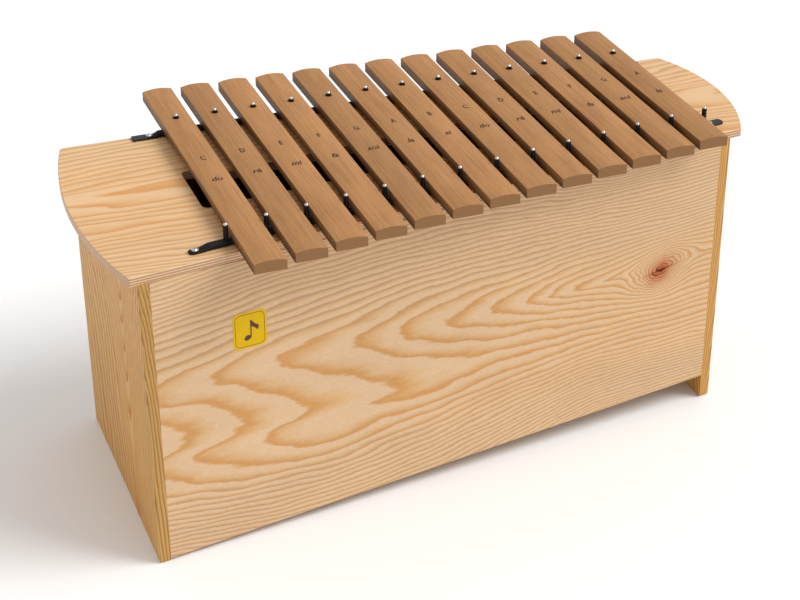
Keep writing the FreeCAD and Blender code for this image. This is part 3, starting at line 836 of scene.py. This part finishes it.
def rail_braid_tree(material):
    """Braid of a rail: closed strands that wind both ways round the core, over one and under one."""
    tree, add, sizes = new_geometry_tree("rail_braid", **RAIL_INPUTS)
    run = add("CurvePrimitiveLine", Start=add("CombineXYZ", X=sizes["Start"]),
              End=add("CombineXYZ", X=sizes["End"]))
    section = add("CurvePrimitiveQuadrilateral", Width=sizes["Strand Width"],
                  Top_Height=sizes["Strand Height"], Bottom_Height=STRAND_KEEL, mode="KITE")
    strand = add("CurveToMesh", Curve=add("ResampleCurve", Curve=run, Count=sizes["Samples"]),
                 Profile_Curve=section, Fill_Caps=True)
    points = add("MeshLine", Count=add("Math:MULTIPLY", sizes["Strands"], 2.0), Offset=(0, 0, 0))
    numbered = add("StoreNamedAttribute", Geometry=points, Name="strand", Value=add("InputIndex"),
                   data_type="FLOAT", domain="POINT")
    real = add("RealizeInstances", add("InstanceOnPoints", Points=numbered, Instance=strand))
    which = add("InputNamedAttribute", Name="strand", data_type="FLOAT")
    axes = add("SeparateXYZ", add("InputPosition")).node.outputs
    pair = add("Math:FLOOR", add("Math:MULTIPLY", which, 0.5))
    way = add("Math:SUBTRACT", 1.0, add("Math:MULTIPLY", add("Math:MODULO", which, 2.0), 2.0))
    turns = add("Math:DIVIDE", axes["X"], sizes["Turn"])
    wound = add("Math:MULTIPLY_ADD", turns, way, add("Math:DIVIDE", pair, sizes["Strands"]))
    slant = add("Math:MULTIPLY", axes["Y"], math.sin(math.pi / 4))
    radius = add("Math:DIVIDE", sizes["Turn"], math.tau)
    angle = add("Math:ADD", add("Math:MULTIPLY", wound, math.tau), add("Math:DIVIDE", slant, radius))
    station = add("Math:SUBTRACT", axes["X"], add("Math:MULTIPLY", slant, way))
    beat = add("Math:MULTIPLY", add("Math:MULTIPLY", turns, math.tau), sizes["Strands"])
    over = add("Math:MULTIPLY", add("Math:COSINE", beat), way)
    rest = add("Math:MULTIPLY", sizes["Strand Height"], STRAND_REST)
    half_strand = add("Math:MULTIPLY", sizes["Strand Height"], 0.5)
    lift = add("Math:ADD", add("Math:MULTIPLY_ADD", over, half_strand, rest), axes["Z"])
    surface = rail_surface(add, sizes, station, angle, lift)
    end_geometry_tree(add, add("SetPosition", Geometry=real, Position=surface), material)
    return tree


# Rail by rail, in metres: reach of the pressed ends beyond the screws, length of the ramps,
# where the braid is cut from each tip, and the corners of the two tips.
RAILS = {
    "front": {"tails": (0.0095, 0.022), "ramps": (0.015, 0.008), "cuts": (0.0008, 0.026),
              "corners": (0.0068, 0.004), "rises": 1},
    "rear": {"tails": (0.025, 0.012), "ramps": (0.010, 0.010), "cuts": (0.0225, 0.015),
             "corners": (0.0012, 0.004), "rises": -1},
}
SCREW_FLAT = 0.0054          # half length of the flat seat round a screw
HEAD_RADIUS = 0.0029


def pin_row(side):
    """First and last pin of a row, on top of the board, and how many pins it has."""
    low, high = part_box(side + "_pins")
    near_y, far_y = low.y + HEAD_RADIUS, high.y - HEAD_RADIUS
    first = Vector((low.x + HEAD_RADIUS, near_y, BOARD_HIGH.z))
    last = Vector((high.x - HEAD_RADIUS, far_y, BOARD_HIGH.z))
    if RAILS[side]["rises"] < 0:
        first.y, last.y = far_y, near_y
    count = len(BAR_NODES) + (1 if side == "front" else 0)
    return first, last, count


class XYLOPHONE_OT_braid_rails(bpy.types.Operator):
    """Lay the two braided rails in place of their plain solids"""

    bl_idname = "xylophone.braid_rails"
    bl_label = "Braid the rails"

    def execute(self, context):
        settings = context.scene.xylophone_rails
        trees = {"core": rail_core_tree(sealed_material(settings)),
                 "braid": rail_braid_tree(braid_material(settings))}
        for side, rail in RAILS.items():
            node = side + "_bar_rail"
            low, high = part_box(node)
            first, last, _ = pin_row(side)
            direction = (last - first).normalized()
            overhang = settings.tail_width / 2 * abs(direction.y)
            length = (high.x - low.x - 2 * overhang) / direction.x
            start = first + direction * ((low.x + overhang - first.x) / direction.x)
            step = settings.turn / settings.strands / 2
            samples = int((length - sum(rail["cuts"])) / step)
            sizes = {
                "Length": length, "Start": rail["cuts"][0], "End": rail["cuts"][0] + samples * step,
                "Width": settings.width, "Height": high.z - low.z,
                "Tail Width": settings.tail_width, "Tail Height": settings.tail_height,
                "Samples": samples + 1, "Strands": settings.strands, "Turn": settings.turn,
                "Strand Width": settings.strand_width, "Strand Height": settings.strand_height,
            }
            for index, end in enumerate(("Near", "Far")):
                sizes[end + " Flat"] = rail["tails"][index] + SCREW_FLAT
                sizes[end + " Ramp"] = rail["ramps"][index]
                sizes[end + " Corner"] = rail["corners"][index]
            turn = Matrix.Rotation(math.atan2(direction.y, direction.x), 4, "Z")
            for layer, tree in trees.items():
                name = side + "_rail_" + layer
                mesh = grow(name, tree, sizes)
                mesh.transform(Matrix.Translation(start) @ turn)
                add_piece(name, mesh, BOX_BODY, (node,) if layer == "core" else ())
        return {"FINISHED"}


def sleeve_tree(material):
    """Sleeves of a row of pins: a rounded wall turned round each pin."""
    tree, add, sizes = new_geometry_tree(
        "pin_sleeves", Vector=("First", "Last"), Int=("Count",), Float=("Outer", "Bore", "Height", "Lip"))
    wall = add("Math:SUBTRACT", sizes["Outer"], sizes["Bore"])
    middle = add("Math:MULTIPLY", add("Math:ADD", sizes["Outer"], sizes["Bore"]), 0.5)
    round_path = add("CurvePrimitiveCircle", Resolution=28, Radius=middle)
    section = add("CurvePrimitiveQuadrilateral", Width=wall, Height=sizes["Height"])
    rounded = add("FilletCurve", Curve=section, Radius=sizes["Lip"], Count=4, mode="POLY")
    tube = add("CurveToMesh", Curve=round_path, Profile_Curve=rounded)
    half = add("CombineXYZ", Z=add("Math:MULTIPLY", sizes["Height"], 0.5))
    smooth = add("SetShadeSmooth", Geometry=add("Transform", Geometry=tube, Translation=half))
    row = add("MeshLine", Count=sizes["Count"], Start_Location=sizes["First"], Offset=sizes["Last"],
              mode="END_POINTS")
    end_geometry_tree(add, add("InstanceOnPoints", Points=row, Instance=smooth), material)
    return tree


class XYLOPHONE_OT_fit_pins(bpy.types.Operator):
    """Sleeve the pins and polish pins, screws and washers"""

    bl_idname = "xylophone.fit_pins"
    bl_label = "Fit the pins"

    def execute(self, context):
        settings = context.scene.xylophone_pins
        # Extruded rubber tube: black, half matt, faintly mottled.
        rubber, add = new_material("black_rubber_sleeve", Roughness=0.42, Specular_IOR_Level=0.25)
        coat(rubber, {"Base Color": mottled(add, settings.rubber, even_noise(add, 1 / 1.3), 0.8, 0.6)})
        # Nickel plate, barrel polished: bright, with fine scratches that spread its gleam.
        nickel, add = new_material("nickel_plated_steel", Metallic=1.0, Base_Color=(*settings.nickel, 1.0))
        gleam = add("MapRange", even_noise(add, 1 / 3.0, detail=4.0), To_Min=0.12, To_Max=0.3)
        coat(nickel, {"Roughness": gleam})
        for node in ("front_pins", "rear_pins", "rail_washers", "rail_screws"):
            finish_node(node, nickel)
        sleeves = sleeve_tree(rubber)
        for side in RAILS:
            node = side + "_pin_sleeves"
            first, last, count = pin_row(side)
            low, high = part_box(node)
            mesh = grow(node, sleeves, {
                "First": first, "Last": last, "Count": count, "Outer": settings.sleeve_radius,
                "Bore": settings.bore_radius, "Height": high.z - low.z, "Lip": settings.lip,
            })
            add_piece(side + "_rubber_sleeves", mesh, BOX_BODY, (node,))
        return {"FINISHED"}


# --- label ---

INK_HEIGHT = 0.00006     # thickness of the printed ink
BORDER_INSET = 0.11      # shares of the label's half width: border to edge, and the border's corner
BORDER_CORNER = 0.3
HEAD_POINTS = 28
QUAVER_HEIGHT = 0.95     # quaver's height in half heights of the label, and the place of its stem's foot
QUAVER_FOOT = (0.02, -0.42)


def rounded_outline(half_width, half_height, corner, steps=6):
    """Points round a rectangle with rounded corners, anticlockwise."""
    points = []
    for quarter, (side_x, side_z) in enumerate(((1, 1), (-1, 1), (-1, -1), (1, -1))):
        for step in range(steps + 1):
            angle = math.pi / 2 * (quarter + step / steps)
            points.append((side_x * (half_width - corner) + corner * math.cos(angle),
                           side_z * (half_height - corner) + corner * math.sin(angle)))
    return points


def quaver_stem(height):
    """One outline for the stem and flag of a quaver, with the stem's foot at the origin."""
    stem = height * 0.07
    outline = [(0.0, 0.0), (stem, 0.0), (stem, height * 0.62)]
    for share, out in ((0.0, 0.16), (0.3, 0.27), (0.6, 0.34), (0.85, 0.33), (1.0, 0.26)):
        outline.append((stem + height * out * share ** 0.5, height * (0.62 - 0.3 * share)))
    for share, out in ((1.0, 0.33), (0.7, 0.42), (0.4, 0.38), (0.15, 0.2)):
        outline.append((stem + height * out, height * (0.82 - 0.45 * share)))
    return outline + [(stem, height), (0.0, height)]


def quaver_head(height):
    """Outline of a quaver's leaning oval head, left of the stem's foot."""
    half_width, half_height, lean = height * 0.2, height * 0.145, math.radians(24)
    outline = []
    for step in range(HEAD_POINTS):
        angle = math.tau * step / HEAD_POINTS
        x, z = half_width * math.cos(angle), half_height * math.sin(angle)
        outline.append((x * math.cos(lean) - z * math.sin(lean) - half_width * 0.78,
                        x * math.sin(lean) + z * math.cos(lean)))
    return outline


def lay_flat_solid(shape, rings, place):
    """Adds a thin solid bounded by one outline, or by an outer and an inner outline of equal length."""
    levels = []
    for depth in (0.0, -INK_HEIGHT):
        levels.append([[shape.verts.new(place(x, depth, z)) for x, z in ring] for ring in rings])
    top, bottom = levels
    pairs = [(i, (i + 1) % len(rings[0])) for i in range(len(rings[0]))]
    for upper, lower in zip(top, bottom):
        for i, j in pairs:
            shape.faces.new((upper[i], upper[j], lower[j], lower[i]))
    for level in levels:
        if len(rings) == 1:
            shape.faces.new(level[0])
        else:
            for i, j in pairs:
                shape.faces.new((level[0][i], level[0][j], level[1][j], level[1][i]))


class XYLOPHONE_OT_print_label(bpy.types.Operator):
    """Print a border and a quaver on the plain label"""

    bl_idname = "xylophone.print_label"
    bl_label = "Print the label"

    def execute(self, context):
        settings = context.scene.xylophone_label
        # Vinyl film, printed and glossy: even colour, sharp reflections, hardly any texture.
        film, add = new_material("glossy_vinyl_film", Roughness=0.34, Specular_IOR_Level=0.16)
        coat(film, {"Base Color": mottled(add, settings.film, even_noise(add, 1 / 0.12), 0.16, 0.92)})
        finish_node("front_label", film)
        # Screen-printing ink: a flat dark film, slightly uneven where the squeegee passed.
        ink, add = new_material("screen_printed_ink", Roughness=0.5)
        coat(ink, {"Base Color": mottled(add, settings.ink, even_noise(add, 1 / 1.5), 0.5, 0.75)})

        low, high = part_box("front_label")
        plate = [vertex.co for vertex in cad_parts["front_label"].data.vertices]
        slope = (FRONT_HIGH.y - FRONT_LOW.y - FRONT_THICKNESS) / (FRONT_HIGH.x - FRONT_LOW.x)
        facing = Vector((slope, -1.0, 0.0)).normalized()
        sideways = Vector((1.0, slope, 0.0)).normalized()
        centre = (low + high) / 2
        centre += facing * (max(point.dot(facing) for point in plate) - centre.dot(facing))
        half_width = (high.x - low.x) / 2
        half_height = (high.z - low.z) / 2

        def place(x, depth, z):
            return centre + sideways * x - facing * depth + Vector((0, 0, z))

        shape = bmesh.new()
        border = [rounded_outline(half_width * (1 - BORDER_INSET) - line,
                                  half_height - half_width * BORDER_INSET - line,
                                  half_width * BORDER_CORNER - line) for line in (0.0, settings.line)]
        lay_flat_solid(shape, border, place)
        size = half_height * QUAVER_HEIGHT
        foot_x, foot_z = half_width * QUAVER_FOOT[0], half_height * QUAVER_FOOT[1]
        for outline in (quaver_stem(size), quaver_head(size)):
            lay_flat_solid(shape, [[(foot_x + x, foot_z + z) for x, z in outline]], place)
        bmesh.ops.recalc_face_normals(shape, faces=shape.faces)
        bmesh.ops.triangulate(shape, faces=shape.faces)
        mesh = filled_mesh("label_print", shape)
        mesh.materials.append(ink)
        add_piece("label_print", mesh, BOX_BODY)
        return {"FINISHED"}


# --- stage ---

FLOOR_HALF = 12.0        # metres from the middle of the floor to its edges
VIEW_DEPTH = 100.0       # metres that the camera sees
SENSOR_WIDTH = 36.0      # millimetres, as the lens length is


class XYLOPHONE_OT_set_stage(bpy.types.Operator):
    """Set camera, light and floor"""

    bl_idname = "xylophone.set_stage"
    bl_label = "Set the stage"

    def execute(self, context):
        scene = context.scene
        stage = scene.xylophone_stage
        yaw, pitch, roll = stage.yaw, stage.pitch, stage.roll
        ahead = Vector((math.sin(yaw) * math.cos(pitch), math.cos(yaw) * math.cos(pitch), -math.sin(pitch)))
        right = Vector((math.cos(yaw), -math.sin(yaw), 0.0))
        up = right.cross(ahead)
        side = right * math.cos(roll) + up * math.sin(roll)
        top = up * math.cos(roll) - right * math.sin(roll)
        camera = bpy.data.objects.new("camera", bpy.data.cameras.new("camera"))
        camera.data.lens = stage.lens
        camera.data.sensor_width = SENSOR_WIDTH
        camera.data.clip_end = VIEW_DEPTH
        turn = Matrix((side, top, -ahead)).transposed().to_4x4()
        camera.matrix_world = Matrix.Translation(stage.eye) @ turn
        scene.collection.objects.link(camera)
        scene.camera = camera

        key = bpy.data.objects.new("key_light", bpy.data.lights.new("key_light", "SUN"))
        key.data.energy = stage.key
        key.data.angle = stage.key_size
        key.matrix_world = Vector(stage.key_from).to_track_quat("Z", "Y").to_matrix().to_4x4()
        scene.collection.objects.link(key)

        world = bpy.data.worlds.new("studio")
        world.use_nodes = True
        tree = world.node_tree
        sideways = add_node(tree, "SeparateXYZ", add_node(tree, "TexCoord", out="Generated"), out="X")
        left, right = stage.sky
        strength = add_node(tree, "MapRange", sideways, From_Min=-1.0, To_Min=left, To_Max=right)
        tree.nodes["Background"].inputs["Color"].default_value = (1.0, 1.0, 1.0, 1.0)
        tree.links.new(strength, tree.nodes["Background"].inputs["Strength"])
        scene.world = world
        scene.view_settings.view_transform = "Standard"

        # Painted board: matt and even, with a faint roller texture.
        paint, add = new_material("matt_white_paint", Roughness=0.9, Base_Color=(*stage.floor, 1.0))
        coat(paint, {}, even_noise(add, 1 / 0.2), depth=0.1, strength=0.1)
        mesh = bpy.data.meshes.new("floor")
        corners = [(x * FLOOR_HALF, y * FLOOR_HALF, 0.0) for x, y in ((-1, -1), (1, -1), (1, 1), (-1, 1))]
        mesh.from_pydata(corners, [], [(0, 1, 2, 3)])
        mesh.materials.append(paint)
        floor = bpy.data.objects.new("floor", mesh)
        scene.collection.objects.link(floor)
        return {"FINISHED"}


class XYLOPHONE_PT_panel(bpy.types.Panel):
    """Sidebar panel with one button for each step"""

    bl_idname = "XYLOPHONE_PT_panel"
    bl_label = "Bass xylophone"
    bl_space_type = "VIEW_3D"
    bl_region_type = "UI"
    bl_category = "Xylophone"

    def draw(self, context):
        for operator in OPERATORS:
            self.layout.operator(operator.bl_idname)


SETTINGS = {
    "xylophone_pine": PineSettings,
    "xylophone_plies": PlySettings,
    "xylophone_bars": BarSettings,
    "xylophone_notes": NoteSettings,
    "xylophone_rails": RailSettings,
    "xylophone_pins": PinSettings,
    "xylophone_label": LabelSettings,
    "xylophone_stage": StageSettings,
}
OPERATORS = (
    XYLOPHONE_OT_set_stage,
    XYLOPHONE_OT_veneer_panels,
    XYLOPHONE_OT_face_board,
    XYLOPHONE_OT_finish_inside,
    XYLOPHONE_OT_wax_bars,
    XYLOPHONE_OT_burn_note_names,
    XYLOPHONE_OT_braid_rails,
    XYLOPHONE_OT_fit_pins,
    XYLOPHONE_OT_print_label,
)
CLASSES = (*SETTINGS.values(), *OPERATORS, XYLOPHONE_PT_panel)


def register():
    for kind in CLASSES:
        bpy.utils.register_class(kind)
    for name, settings in SETTINGS.items():
        setattr(bpy.types.Scene, name, PointerProperty(type=settings))


def unregister():
    for name in SETTINGS:
        delattr(bpy.types.Scene, name)
    for kind in reversed(CLASSES):
        bpy.utils.unregister_class(kind)


def main():
    register()
    for operator in OPERATORS:
        group, step = operator.bl_idname.split(".")
        getattr(getattr(bpy.ops, group), step)()


if __name__ == "__main__":
    main()
